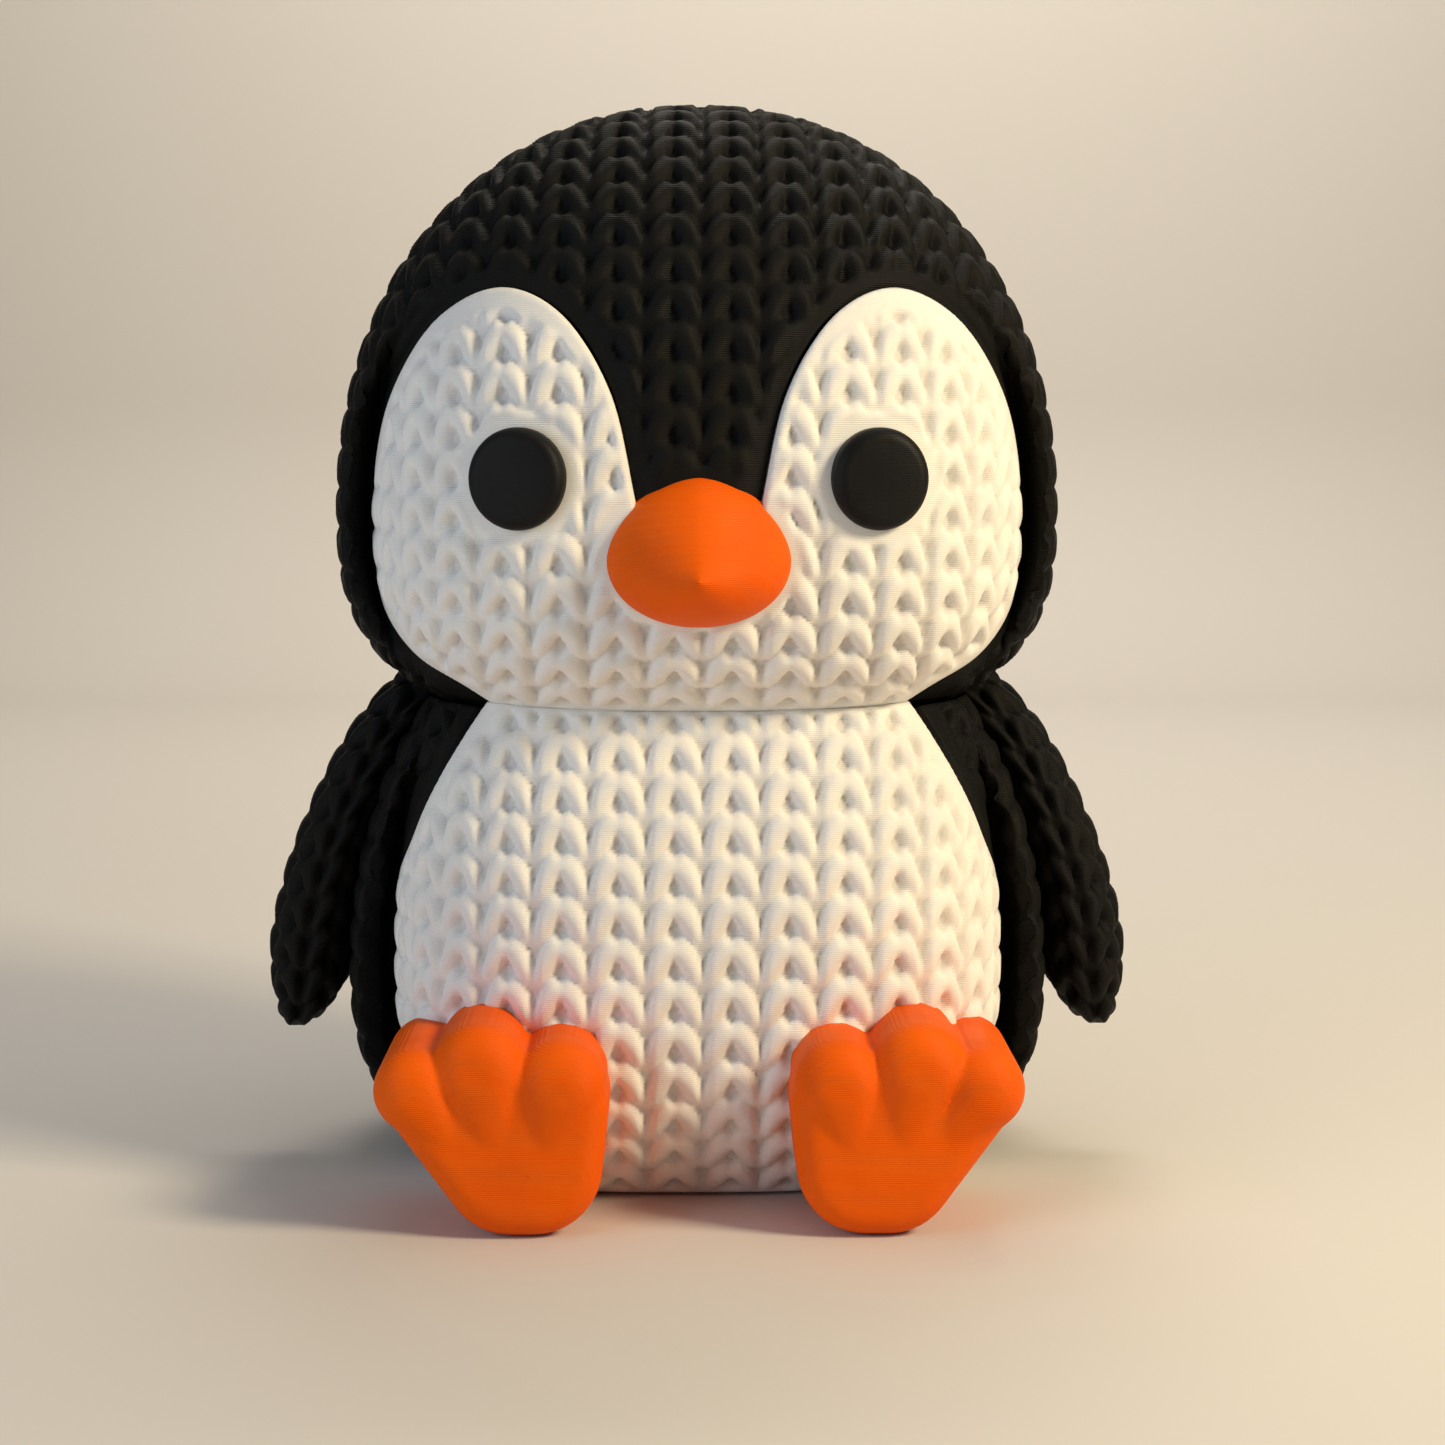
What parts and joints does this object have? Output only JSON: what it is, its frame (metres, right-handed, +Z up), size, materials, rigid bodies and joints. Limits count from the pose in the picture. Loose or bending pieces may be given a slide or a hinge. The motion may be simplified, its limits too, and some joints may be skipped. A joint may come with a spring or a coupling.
{
  "type": "seated penguin figurine",
  "caption": "Seated penguin figurine, printed in black, white and orange pieces with a knitted-stitch relief, smooth eyes, beak and feet",
  "frame": {"origin": "on the flat base, under the axis of the body", "axes": "+Z up, the penguin faces -Y, and +X is the penguin's own left side"},
  "size_m": [0.0902, 0.0746, 0.1088],
  "materials": {
    "black_print": "satin printed plastic with fine layer lines",
    "white_print": "satin printed plastic with fine layer lines",
    "orange_print": "smooth printed plastic with fine layer lines",
    "eye_print": "smooth printed plastic, a little glossier than the hood"
  },
  "bodies": {
    "root": {"head": "black_print", "body": "black_print", "left_flipper": "black_print", "right_flipper": "black_print", "left_eye": "eye_print", "right_eye": "eye_print", "face_panel": "white_print", "belly_panel": "white_print", "beak": "orange_print", "left_foot": "orange_print", "right_foot": "orange_print"}
  },
  "joints": []
}
